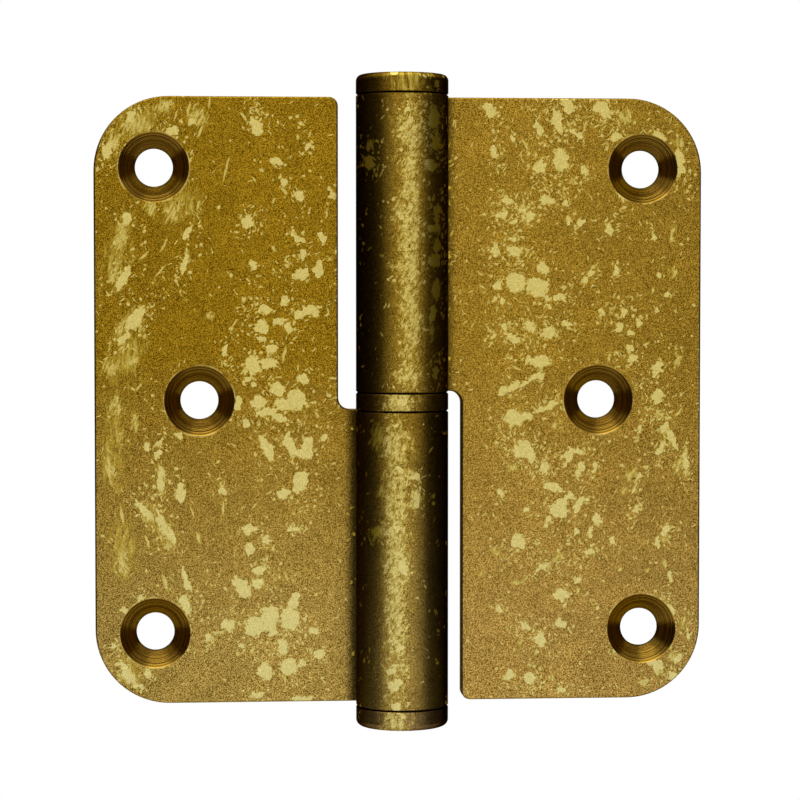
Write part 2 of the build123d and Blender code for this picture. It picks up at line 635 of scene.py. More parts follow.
        # Half-rubbed plate is olive yellow before the pale brass comes through.
        worn = add(Node.RANGE, (reach_and_shade, *look.worn))
        # On the dim sides of the barrel the half-rubbed colour is lighter: a painted highlight.
        half = add(Node.BLEND_COLOUR, (worn, linear(look.flank_half_highlight), linear(look.half)))
        half = add(Node.VECTOR_SCALE, (half, glint))
        first = add(Node.RANGE, (bare, *look.half_rubbed))
        last = add(Node.RANGE, (bare, *look.rubbed_bare))
        last = add(Node.MULTIPLY, (last, worn))
        rubbed = add(Node.BLEND_COLOUR, (first, plate, half))
        return add(Node.BLEND_COLOUR, (last, rubbed, pale))

    def toned(self, tone: Tone) -> Socket:
        """Let a colour turn paler down the hinge: painted glare."""
        glare_drop = self.add(Node.RANGE, (self.z, *self.look.glare_drop))
        return self.add(Node.BLEND_COLOUR, (glare_drop, linear(tone.upper), linear(tone.lower)))

    def patina(self, grain: Socket, reach_and_shade: Socket, unworn_and_shaded: int) -> Socket:
        """Colour the darkened plate, cloudy and sandy.

        Args:
            grain: The sandy grain, about 0.5.
            reach_and_shade: How light the plate is left; darker on the barrel's sides and beside it: painted
                shade and patina.
            unworn_and_shaded: Side of the roll that is darker, from plating left dark and from painted shade,
                or 0.

        Returns:
            The colour of the plate.
        """
        look, add = self.look, self.add
        cloud = add(Node.NOISE_3D, {"Vector": self.mm, "Scale": 1 / look.cloud_mm, "Detail": 3.0})
        gain = add(Node.RANGE, (cloud, *look.cloud))
        # Painted shade: darker towards the outer side of a leaf, and on the barrel and beside it.
        shades = [add(Node.RANGE, (self.off, *look.outer)), reach_and_shade]
        # One side of a knuckle is darker: plating left dark there, and painted shade.
        if unworn_and_shaded:
            side = add(Node.MULTIPLY, (self.across, float(unworn_and_shaded)))
            kept_plate_and_shade = add(Node.RANGE, (side, *look.kept_plate_and_shade))
            shades.insert(0, add(Node.BLEND, (self.rolled, 1.0, kept_plate_and_shade)))
        for shade in shades:
            gain = add(Node.MULTIPLY, (gain, shade))
        plate = add(Node.VECTOR_SCALE, (self.toned(look.tone), gain))
        dark = add(Node.VECTOR_MULTIPLY, (plate, look.sand_dark))
        light = add(Node.VECTOR_MULTIPLY, (plate, look.sand_light))
        sand = add(Node.RANGE, (grain, *look.sand))
        return add(Node.BLEND_COLOUR, (sand, dark, light))

    def reach_and_shade(self) -> Socket:
        """Darken the barrel towards its sides and the leaf in the corner beside it: painted shade over the
        dark patina that the rubbing missed.

        Returns:
            How light the plate is left there, from 0 to 1.
        """
        look, add = self.look, self.add
        flank_shade = add(Node.RANGE, (self.off, *look.flank_shade))
        back = add(Node.RANGE, (self.off, *look.back))
        flank_shade = add(Node.MAXIMUM, (flank_shade, back))
        skin = add(Node.GREATER, (self.radius, look.barrel_radius - look.skin))
        flank_shade = add(Node.BLEND, (skin, 1.0, flank_shade))
        # The leaf beside the barrel is darker: dark patina and painted shade in the corner.
        corner = add(Node.RANGE, (self.off, *look.corner))
        front = add(Node.LESS, (self.y, look.front_face + look.margin))
        corner = add(Node.BLEND, (front, 1.0, corner))
        return add(Node.BLEND, (self.rolled, corner, flank_shade))

    def countersunk(self, colour: Socket, holes: tuple[Hole, ...]) -> tuple[Socket, Socket, Socket]:
        """Cut the darker turned countersinks with their rings and thin pale rims.

        Args:
            colour: Colour of the sheet.
            holes: Places of the holes.

        Returns:
            The colour with the countersinks, whether the point is in one, and the height of its rings.
        """
        look, add = self.look, self.add
        plan = add(Node.COMBINE, {"X": self.x, "Z": self.z})
        off: Setting = FAR
        for hole in holes:
            away = add(Node.VECTOR_DISTANCE, (plan, (hole.across, 0, hole.height)))
            off = add(Node.MINIMUM, (off, away))
        depth = add(Node.SUBTRACT, (self.y, look.front_face))
        # On the cone the distance from the hole's middle and the depth add up to the countersink's radius.
        capped = add(Node.MINIMUM, (depth, look.sink_depth))
        reach = add(Node.ADD, (off, capped))
        inside = add(Node.LESS, (reach, look.sink_radius + look.margin))
        below = add(Node.GREATER, (depth, look.skim))
        sunk = add(Node.MULTIPLY, (inside, below))
        tool = add(Node.NOISE_1D, {"W": off, "Scale": look.sink_rings_per_mm, "Detail": 2.0})
        gain = add(Node.RANGE, (tool, *look.ring_tone))
        turned = add(Node.VECTOR_SCALE, (linear(look.turned)[:3], gain))
        colour = add(Node.BLEND_COLOUR, (sunk, colour, turned))
        # Pale rim: broken plating and a painted highlight.
        lip = add(Node.COMPARE, (off, look.sink_radius + look.lip_offset, look.lip_width))
        chip = add(Node.NOISE_3D, {"Vector": self.mm, "Scale": 1 / look.lip_chip_mm, "Detail": 2.0})
        chip = add(Node.RANGE, (chip, *look.lip))
        front = add(Node.LESS, (depth, look.skim))
        for share in (chip, front):
            lip = add(Node.MULTIPLY, (lip, share))
        colour = add(Node.BLEND_COLOUR, (lip, colour, linear(look.pale.upper)))
        return colour, sunk, add(Node.MULTIPLY, (tool, sunk))

    def grimed(self, colour: Socket) -> Socket:
        """Let old dirt sit in the joints between the knuckles, the ring and the caps.

        Args:
            colour: Colour so far.

        Returns:
            The colour with dark joints.
        """
        gap: Setting = FAR
        for joint in self.look.joints:
            off = self.add(Node.SUBTRACT, (self.z, joint))
            off = self.add(Node.ABSOLUTE, (off,))
            gap = self.add(Node.MINIMUM, (gap, off))
        dirt = self.add(Node.RANGE, (gap, *self.look.grime))
        dirt = self.add(Node.MULTIPLY, (dirt, self.rolled))
        return self.add(Node.BLEND_COLOUR, (dirt, colour, linear(self.look.dirt)))


@dataclass(frozen=True)
class TurnedSteel:
    """Bright steel bar, turned and lightly oiled: a cool grey with fine rings that catch the light."""

    steel: str = "#b4b0a8"
    dull: str = "#8d887f"
    feed_mm: float = 0.25
    oil_mm: float = 5.0
    shade: Fade = Fade(0.12, 0.38)
    roughness: Fade = Fade(0.3, 0.7, 0.22, 0.36)
    relief: float = 0.2
    relief_mm: float = 0.02

    def lay(self, graph: Graph) -> None:
        """Draw the whole finish.

        Args:
            graph: Graph of the material.
        """
        add = graph.add
        origin = add(Node.COORDINATES, out="Object")
        mm = add(Node.VECTOR_MULTIPLY, (origin, (1 / MM,) * 3))
        along = add(Node.SEPARATE, (mm,)).node.outputs["Z"]
        rings = add(Node.NOISE_1D, {"W": along, "Scale": 1 / self.feed_mm, "Detail": 2.0})
        oil = add(Node.NOISE_3D, {"Vector": mm, "Scale": 1 / self.oil_mm, "Detail": 3.0})
        shade = add(Node.MULTIPLY, (rings, oil))
        shade = add(Node.RANGE, (shade, *self.shade))
        colour = add(Node.BLEND_COLOUR, (shade, linear(self.dull), linear(self.steel)))
        roughness = add(Node.RANGE, (oil, *self.roughness))
        normal = add(Node.BUMP, {"Strength": self.relief, "Distance": self.relief_mm * MM, "Height": rings})
        metal = add(Node.PRINCIPLED, {"Base Color": colour, "Metallic": 1.0, "Roughness": roughness,
                                      "Normal": normal})
        add(Node.SURFACE, {"Surface": metal})


class Hand(Enum):
    """Side of the pin that a leaf lies on, as the sign of its X."""

    FRAME = -1
    DOOR = 1


@dataclass
class Leaf:
    """A sheet leaf with its rolled knuckle; its holes are placed in millimetres."""

    hand: Hand
    node: str
    finish: AntiquedBrass
    wear: Wear
    outer_reach: float = 32.4
    outer_height: float = 30.7
    middle_reach: float = 26.5

    def holes(self) -> tuple[Hole, ...]:
        """List the countersunk holes of this hand."""
        outer, middle = self.hand.value * self.outer_reach, self.hand.value * self.middle_reach
        return Hole(outer, self.outer_height), Hole(middle, 0.0), Hole(outer, -self.outer_height)

    def dress(self) -> None:
        """Give the leaf its plating."""
        graph = coat(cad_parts[self.node], f"{self.node}_antiqued_brass_plate")
        Plating(self.finish, graph).lay(self.wear, self.holes())
        log.info("%s: antiqued brass plate, %d chips", self.node, len(self.wear.chips))


@dataclass
class Barrel:
    """The turned pieces round the pin: the bearing ring, the caps and the pin itself."""

    finish: AntiquedBrass
    steel: TurnedSteel
    wear: dict[str, Wear]

    def dress(self) -> None:
        """Give each turned piece its finish."""
        for node, wear in self.wear.items():
            graph = coat(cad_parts[node], f"{node}_turned_antiqued_brass")
            Plating(self.finish, graph).lay(wear, lathe=True)
            log.info("%s: turned antiqued brass", node)
        self.steel.lay(coat(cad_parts["hinge_pin"], "hinge_pin_turned_steel"))
        log.info("hinge_pin: turned bright steel")


class Edge(NamedTuple):
    """An upright edge of a flag: its bearing off the front in degrees, its foot and its top in metres."""

    bearing: float
    foot: float
    top: float


@dataclass
class Studio:
    """Pale floor and surroundings, flags at the sides that shape the barrel, one soft lamp and the camera.

    Sizes are in metres, angles in degrees. The camera's place and turn were fitted to the photograph.
    """

    white: str = "#ffffff"
    # Light of the white surroundings on matt surfaces, where 1 is white.
    fill: float = 0.6
    floor_shade: str = "#e6e6e6"
    floor_height: float = -0.2
    floor_reach: float = 6.0
    # How much of the floor is plain white where it is seen, by the distance from the middle.
    sweep: Fade = Fade(0.1, 0.55, 0.55)
    flag_distance: float = 0.4
    scrim_shade: str = "#b4b2b0"
    scrim: tuple[Edge, ...] = (Edge(36, -0.08, 0.25), Edge(52, -0.08, 0.25))
    felt_shade: str = "#0c0b0b"
    felt: tuple[Edge, ...] = (
        Edge(52, -0.17, 0.25), Edge(75, -0.17, 0.25), Edge(105, -0.15, 0.20), Edge(125, -0.09, 0.10),
        Edge(150, -0.07, 0.08), Edge(175, -0.06, 0.07))
    lamp_size: float = 0.8
    lamp_watts: float = 3.0
    lamp_place: Triple = (-0.15, -0.2, 0.9)
    lamp_turn: tuple[float, float] = (-12.0, -9.0)
    camera_place: Triple = (-0.02597, -0.337, 0.01395)
    camera_turn: tuple[float, float] = (-2.335, -4.36)
    focal_px: float = 2579.8
    image_px: int = 800

    def build(self) -> None:
        """Set up the whole studio."""
        self.surround()
        self.floor()
        for side in Hand:
            self.flag(side, "grey_scrim", self.scrim, self.scrim_shade)
            self.flag(side, "dark_felt_flag", self.felt, self.felt_shade)
        self.lamp()
        self.camera()
        bpy.context.scene.view_settings.view_transform = "Standard"
        log.info("studio: floor, flags, lamp and camera")

    def surround(self) -> None:
        """Put white all round, dimmer for the light that falls on matt surfaces."""
        world = bpy.data.worlds.new("white_surround")
        bpy.context.scene.world = world
        world.use_nodes = True
        world.cycles.sampling_method = "NONE"
        graph = Graph(world.node_tree)
        strength = graph.add(Node.MULTIPLY_ADD, (self.seen(graph), 1 - self.fill, self.fill))
        white = graph.add(Node.BACKGROUND, {"Color": linear(self.white), "Strength": strength})
        graph.add(Node.WORLD, {"Surface": white})

    def seen(self, graph: Graph) -> Socket:
        """Tell rays that show a surface, straight or in a reflection, from those that only light one.

        Args:
            graph: Graph of the world or the material.

        Returns:
            1 for a ray that shows the surface, or 0.
        """
        rays = graph.add(Node.LIGHT_PATH).node.outputs
        shown = graph.add(Node.MAXIMUM, (rays["Is Camera Ray"], rays["Is Glossy Ray"]))
        return graph.add(Node.MAXIMUM, (shown, rays["Is Transmission Ray"]))

    def mesh(self, name: str, corners: list[tuple], faces: list[tuple]) -> bpy.types.Object:
        """Add a stage object.

        Args:
            name: Name of the object.
            corners: Corners in metres.
            faces: Corner numbers of each face.

        Returns:
            The object, marked as stage.
        """
        mesh = bpy.data.meshes.new(name)
        mesh.from_pydata(corners, [], faces)
        thing = bpy.data.objects.new(name, mesh)
        bpy.context.scene.collection.objects.link(thing)
        thing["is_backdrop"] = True
        return thing

    def floor(self) -> None:
        """Lay the pale floor, which is white where it is seen and keeps the shadow."""
        r, z = self.floor_reach, self.floor_height
        floor = self.mesh("floor", [(-r, -r, z), (r, -r, z), (r, r, z), (-r, r, z)], [(0, 1, 2, 3)])
        # Matt paint: no gloss, and near the hinge it is dim enough to take a soft shadow.
        graph = coat(floor, "matt_white_floor")
        matt = graph.add(Node.DIFFUSE, {"Color": linear(self.floor_shade)})
        glow = graph.add(Node.EMISSION, {"Color": linear(self.white), "Strength": 1.0})
        spot = graph.add(Node.COORDINATES, out="Object")
        away = graph.add(Node.VECTOR_DISTANCE, (spot, (0, 0, z)))
        sweep = graph.add(Node.RANGE, (away, *self.sweep))
        share = graph.add(Node.MULTIPLY, (self.seen(graph), sweep))
        graph.add(Node.SURFACE, {"Surface": graph.add(Node.MIX_SHADER, (share, matt, glow))})

    def flag(self, side: Hand, name: str, edges: tuple[Edge, ...], shade: str) -> None:
        """Stand a flag beside the object; only reflections see it.

        Args:
            side: Side that it stands on.
            name: What it is called.
            edges: Its upright edges, from front to back.
            shade: How light it looks.
        """
        corners = []
        for edge in edges:
            turn = math.radians(edge.bearing)
            x = side.value * self.flag_distance * math.sin(turn)
            y = -self.flag_distance * math.cos(turn)
            corners += [(x, y, edge.foot), (x, y, edge.top)]
        faces = [(i, i + 2, i + 3, i + 1) for i in range(0, len(corners) - 2, 2)]
        flag = self.mesh(f"{name}_{side.name.lower()}", corners, faces)
        flag.visible_camera = flag.visible_diffuse = flag.visible_shadow = False
        # Stretched cloth: one even shade in the reflection.
        graph = coat(flag, name)
        cloth = graph.add(Node.EMISSION, {"Color": linear(shade), "Strength": 1.0})
        graph.add(Node.SURFACE, {"Surface": cloth})

    def lamp(self) -> None:
        """Hang one large soft lamp overhead, for the shadow on the floor."""
        light = bpy.data.lights.new("overhead_softbox", "AREA")
        light.shape = "DISK"
        light.size = self.lamp_size
        light.energy = self.lamp_watts
        lamp = bpy.data.objects.new("overhead_softbox", light)
        lamp.location = self.lamp_place
        pitch, roll = self.lamp_turn
        lamp.rotation_euler = (math.radians(pitch), math.radians(roll), 0)
        bpy.context.scene.collection.objects.link(lamp)

    def camera(self) -> None:
        """Stand the camera where the photograph was taken from."""
        data = bpy.data.cameras.new("camera")
        data.lens = data.sensor_width * self.focal_px / self.image_px
        camera = bpy.data.objects.new("camera", data)
        camera.location = self.camera_place
        pitch, yaw = self.camera_turn
        camera.rotation_euler = (math.radians(90 + pitch), 0, math.radians(yaw))
        bpy.context.scene.collection.objects.link(camera)
        bpy.context.scene.camera = camera


def rubs(*spots: tuple[float, ...], behind: bool = False) -> tuple[Rub, ...]:
    """Name the numbers of listed patches, on the front or behind; an upright one gives no lean."""
    shift = STRETCH if behind else 0.0
    return tuple(Rub(across, height + shift, *size) for across, height, *size in spots)


FRAME_LEAF = Wear(
    chips=rubs(
        (-38.5, 32.9, 1, 2.6, 15), (-35.5, 37.3, 1, 1.6, 15), (-29.8, 35.5, 1.5, 1.4),
        (-27.3, 36.6, 0.7, 1.2, 30), (-36.4, 16.1, 1.2, 3.2, 30), (-28, 22.1, 0.8, 2.1, 30),
        (-28.4, 18.2, 0.7, 3, 10), (-35.9, 23.7, 1, 1.4), (-34.8, 10.9, 1.3, 3.4, 35),
        (-36.3, 8.2, 0.8, 2, 30), (-19, 36.1, 1.2, 2.4, -10), (-13.1, 36.5, 0.9, 0.7),
        (-12.2, 33.4, 0.6, 1.1, 30), (-16.4, 31.5, 1.6, 1), (-15.3, 28.9, 0.8, 0.9),
        (-13.3, 27, 0.9, 1.6, -50), (-9.1, 27.2, 0.5, 1.6, -20), (-20.2, 23.6, 1.7, 1.4),
        (-13.5, 21.4, 0.6, 2, -60), (-10.4, 21.6, 1.1, 1.5, -40), (-12.7, 19.4, 0.7, 0.8),
        (-19.5, 17.9, 0.8, 1.4, -20), (-13.1, 16.7, 1.8, 1.6), (-10.6, 17.4, 1.3, 2.3, 10),
        (-15.2, 13, 0.9, 1.5, 45), (-17.8, 12.1, 1.7, 1.4), (-12, 11.8, 0.9, 2.9, 65),
        (-13.5, 11.2, 0.9, 0.9), (-11.4, 11.7, 1, 1.3), (-18.4, 9.7, 1.6, 1.9), (-16, 10.5, 1.7, 1.1),
        (-14.7, 9.7, 1, 1.2), (-18.2, 8.1, 1.2, 0.7), (-17, 6.8, 1.5, 1), (-19.5, 4.7, 2.2, 2.2),
        (-17.3, 4.9, 1.9, 1.5), (-13, 2.8, 1.5, 1.4), (-16.3, 1.5, 1.8, 1.8), (-15, -0.5, 3, 1.8),
        (-13.6, 0.2, 2.4, 2.6), (-18.7, -0.2, 1.6, 1.6), (-17.5, -1.5, 2.4, 1.2), (-15.9, -2.3, 0.9, 2, -70),
        (-21.5, -0.2, 0.7, 2.2), (-19.4, 2.1, 1, 0.6), (-20.5, 2.6, 0.6, 1.4, 45), (-23.1, 6.4, 0.8, 1.2),
        (-20.4, -3, 0.8, 1), (-15, -4.6, 0.6, 1.1), (-17.7, -6.3, 1.3, 3.2, -30),
        (-14.6, -5.9, 1.2, 2.4, -30), (-12.9, -7.1, 2.6, 1.2), (-12.2, -6.1, 1.1, 2.2, 15),
        (-10.1, -4.9, 0.9, 0.9), (-13.2, -10.9, 1.8, 2.9, 15), (-15.4, -12.4, 1.3, 1),
        (-23.5, -12, 0.9, 0.9), (-33.4, -6.1, 0.7, 1.4, -15), (-31.8, -5.5, 0.6, 1.7, 30),
        (-32, -7.1, 0.7, 1.7, 35), (-31.5, -10.7, 1, 3.4, -10), (-28.9, -12.1, 1.2, 2.1, -10),
        (-33.9, -14.4, 0.8, 3, -30), (-31.4, -16.3, 0.8, 4, -20), (-30.2, -17.9, 0.5, 3.2, -15),
        (-28.4, -23.4, 0.8, 3.7, -20), (-28.5, -26.9, 0.9, 2.8, -15), (-29.3, -4.5, 0.9, 0.7),
        (-34.4, -25.8, 0.6, 0.8), (-36.6, -27.5, 0.6, 1.2, -30), (-19.9, -17.1, 1.8, 1.3),
        (-17.8, -18.4, 1.1, 1.1), (-19.9, -19.6, 1.1, 1.6), (-18.7, -22.4, 1.4, 1.3),
        (-18.8, -24.2, 1.9, 1.4), (-21, -24.7, 1.6, 2.9, -45), (-14, -17.1, 1.9, 0.7),
        (-14.1, -26.5, 1.3, 1.8, 15), (-17.3, -28.9, 2.6, 3), (-19.4, -29.9, 2.4, 2.6),
        (-14.6, -29, 2.1, 3.2), (-16.9, -30.5, 1.3, 1.3), (-15.6, -32.8, 1.2, 2.4, -10),
        (-14.9, -35.3, 2, 2.2), (-18, -35.9, 1.5, 2.4, -20), (-10.6, -33.8, 1.2, 1.1),
        (-11.3, -30.7, 1.2, 1), (-12.6, -28.9, 0.6, 0.8), (-21, -32.5, 0.7, 0.7), (-19, -39, 1.4, 0.7),
        (-12.9, -39.7, 3.2, 0.7), (-13.1, -35, 1.3, 0.9), (-36, -36, 1, 3.8, -38), (-33.4, -36, 1, 1.2),
        (-38.1, -32.4, 0.8, 0.7), (-34.8, -37.7, 0.7, 1.8, -50), (-22.9, -29.7, 1.3, 1.8, -30),
        (-25.4, -31.3, 0.8, 1.2), (-0.8, -8.6, 0.9, 0.8), (1.3, -9.6, 1.2, 0.8), (1.6, -12.8, 0.7, 1.8),
        (-1.4, -2.9, 0.8, 0.8), (-1.2, -16.1, 0.9, 0.7), (-0.2, -21.3, 1.3, 1.3), (-0.9, -31.6, 1, 0.9),
        (-1.7, -34.8, 1.3, 1), (-1.8, -36.7, 1.5, 0.9), (-0.9, -36.3, 0.9, 0.7), (-1.2, -39.3, 0.9, 0.8),
        (-4, -16.8, 1.4, 1)) + rubs(
        (-36, 31, 0.9, 2.4, 20), (-24.5, 18, 1.2, 1.6), (-22.9, 16.4, 0.8, 1.1, 30), (-14.2, 6.5, 1.4, 1.2),
        (-12.8, 4.9, 0.7, 1.8, -35), (-31, -2.8, 0.8, 2.6, -20), (-18.6, -13, 1.6, 1.4),
        (-17.1, -14.8, 0.9, 1.3, 30), (-34.8, -20.5, 1, 2, 15), (-13, -31.6, 1.2, 1.6),
        (-26.4, -34, 0.8, 1, -30), (-20.4, 33, 0.9, 1.3), behind=True),
    scratches=rubs(
        (-29.5, 37.4, 0.3, 1.6, 20), (-25.1, 39.2, 0.3, 1.6), (-27.8, 38.3, 0.35, 2, 10),
        (-26.3, 35.3, 0.35, 1.8, 25), (-31.1, 20.5, 0.3, 2.2, 25), (-33.7, 19.1, 0.35, 1.8, 45),
        (-31.6, 17, 0.25, 2.4, 40), (-22.9, 30.4, 0.3, 3.6, 15), (-26.6, 25.7, 0.35, 1.4, 20),
        (-27.6, 31.6, 0.3, 1.2, 20), (-34.5, 1.8, 0.3, 1.5, 40), (-15.3, 6.1, 0.4, 2.4, 10),
        (-13.5, 4.3, 0.3, 0.9), (-11, -1.9, 0.3, 1.2, -35), (-22, -5.9, 0.25, 0.9, -60),
        (-23.4, -14.2, 0.3, 2.2), (-36.7, -15.1, 0.4, 3, -10), (-26.7, -18.1, 0.45, 1.7, -15),
        (-31.1, -23.9, 0.45, 2.8, -15), (-27.5, -14.7, 0.25, 1.8, -15), (-33.4, -18.6, 0.35, 2, -15),
        (-15, -23.4, 0.25, 2, -20), (-22.1, -27.4, 0.25, 1.8, 45), (-16.8, -19.5, 0.3, 1.1, 20),
        (-19.5, -33, 0.3, 1.4, 20), (-24.1, -30.6, 0.3, 2.6, 80), (-15.3, -37.1, 0.3, 1.2),
        (-20.6, 37.3, 0.35, 1.5, -40), (-11.9, 35.1, 0.35, 1, 25), (-13.5, 34.7, 0.4, 0.8),
        (-15.3, 27.6, 0.35, 1.2, -35), (-9.7, 24.7, 0.25, 1.4, 10), (-16.7, 20, 0.35, 1, -40),
        (-20.6, 13.3, 0.4, 0.9, 30), (-21.9, 10.1, 0.25, 1.8, 35), (-9.5, 11.8, 0.25, 1.2, -20),
        (-8.9, 2.9, 1.2, 0.4), (-8, -21.3, 0.3, 0.8, -30)),
    scuffs=rubs(
        (-34.6, 36.2, 6.4, 3.6), (-37.6, 33.8, 2.6, 4.4), (-31, 38.6, 3.6, 2.6), (-26.4, 37.2, 3.4, 3.6, 15),
        (-29.8, 25, 2.8, 5.4, 20), (-32.7, 25.3, 2.2, 2.8), (-36.8, 21.4, 2.6, 7, 15),
        (-37.6, 16.8, 1.8, 4.4, 15), (-36.2, 10, 2.2, 5.4, 30), (-35.2, 5.2, 2, 2.8), (-38.2, 4.4, 2.8, 3.4),
        (-37.4, -0.8, 2.8, 3.8), (-34.9, -2.8, 1.6, 3.4), (-25, 11.2, 1.2, 1.8), (-33.6, 8.6, 1.4, 1.4),
        (-38.4, -8.8, 2.2, 6.6, -10), (-36.8, -21.4, 2.6, 5.6, -10), (-33, -15.5, 2.6, 5, -25),
        (-31, -17.5, 3, 6, -20), (-22.5, -29.4, 1.8, 1.6, -10), (-25, -31.4, 1.4, 1.2, -10),
        (-31.6, -10, 2, 4.6, -10), (-35.8, -36.4, 3, 5, -38), (-3.9, -4.4, 2.6, 4), (-3.9, -16.8, 2.4, 2),
        (-3.4, -11.6, 1.6, 2.4)) + rubs(
        (-37.6, 20, 2.4, 9, 10), (-37, -10, 2.6, 12, -10), (-27, 36.5, 6, 2.6), (-30, -35, 7, 2.4),
        (-16, 0, 4, 6, 20), behind=True),
    # The knuckle's rubbed flecks run along its lit front strip and are partly a painted highlight.
    sheen_and_highlight=rubs(
        (-1.3, -20.6, 5.4, 64), (-1.4, -5.4, 7, 8), (-0.6, -9.6, 6, 4.4), (1.4, -12.4, 2.8, 5.2),
        (-1.4, -15.8, 4.8, 3.2), (-0.8, -21.8, 4.8, 6.4, 30), (-1.2, -29, 5.2, 6.4, 30),
        (-1.2, -34.5, 5.4, 5.4)),
    haze=rubs(
        (-34.5, 36.5, 10, 8, 15), (-28.5, 26, 7, 7, 15), (-37, 20, 4.8, 15, 15), (-36, 6, 6.4, 13, 15),
        (-37.6, -6, 4.6, 18), (-36.6, -19, 5.6, 13), (-35.5, -34, 3.4, 7, -45)),
    drag=6.0,
    unworn_and_shaded=1,
    specks=1.05)

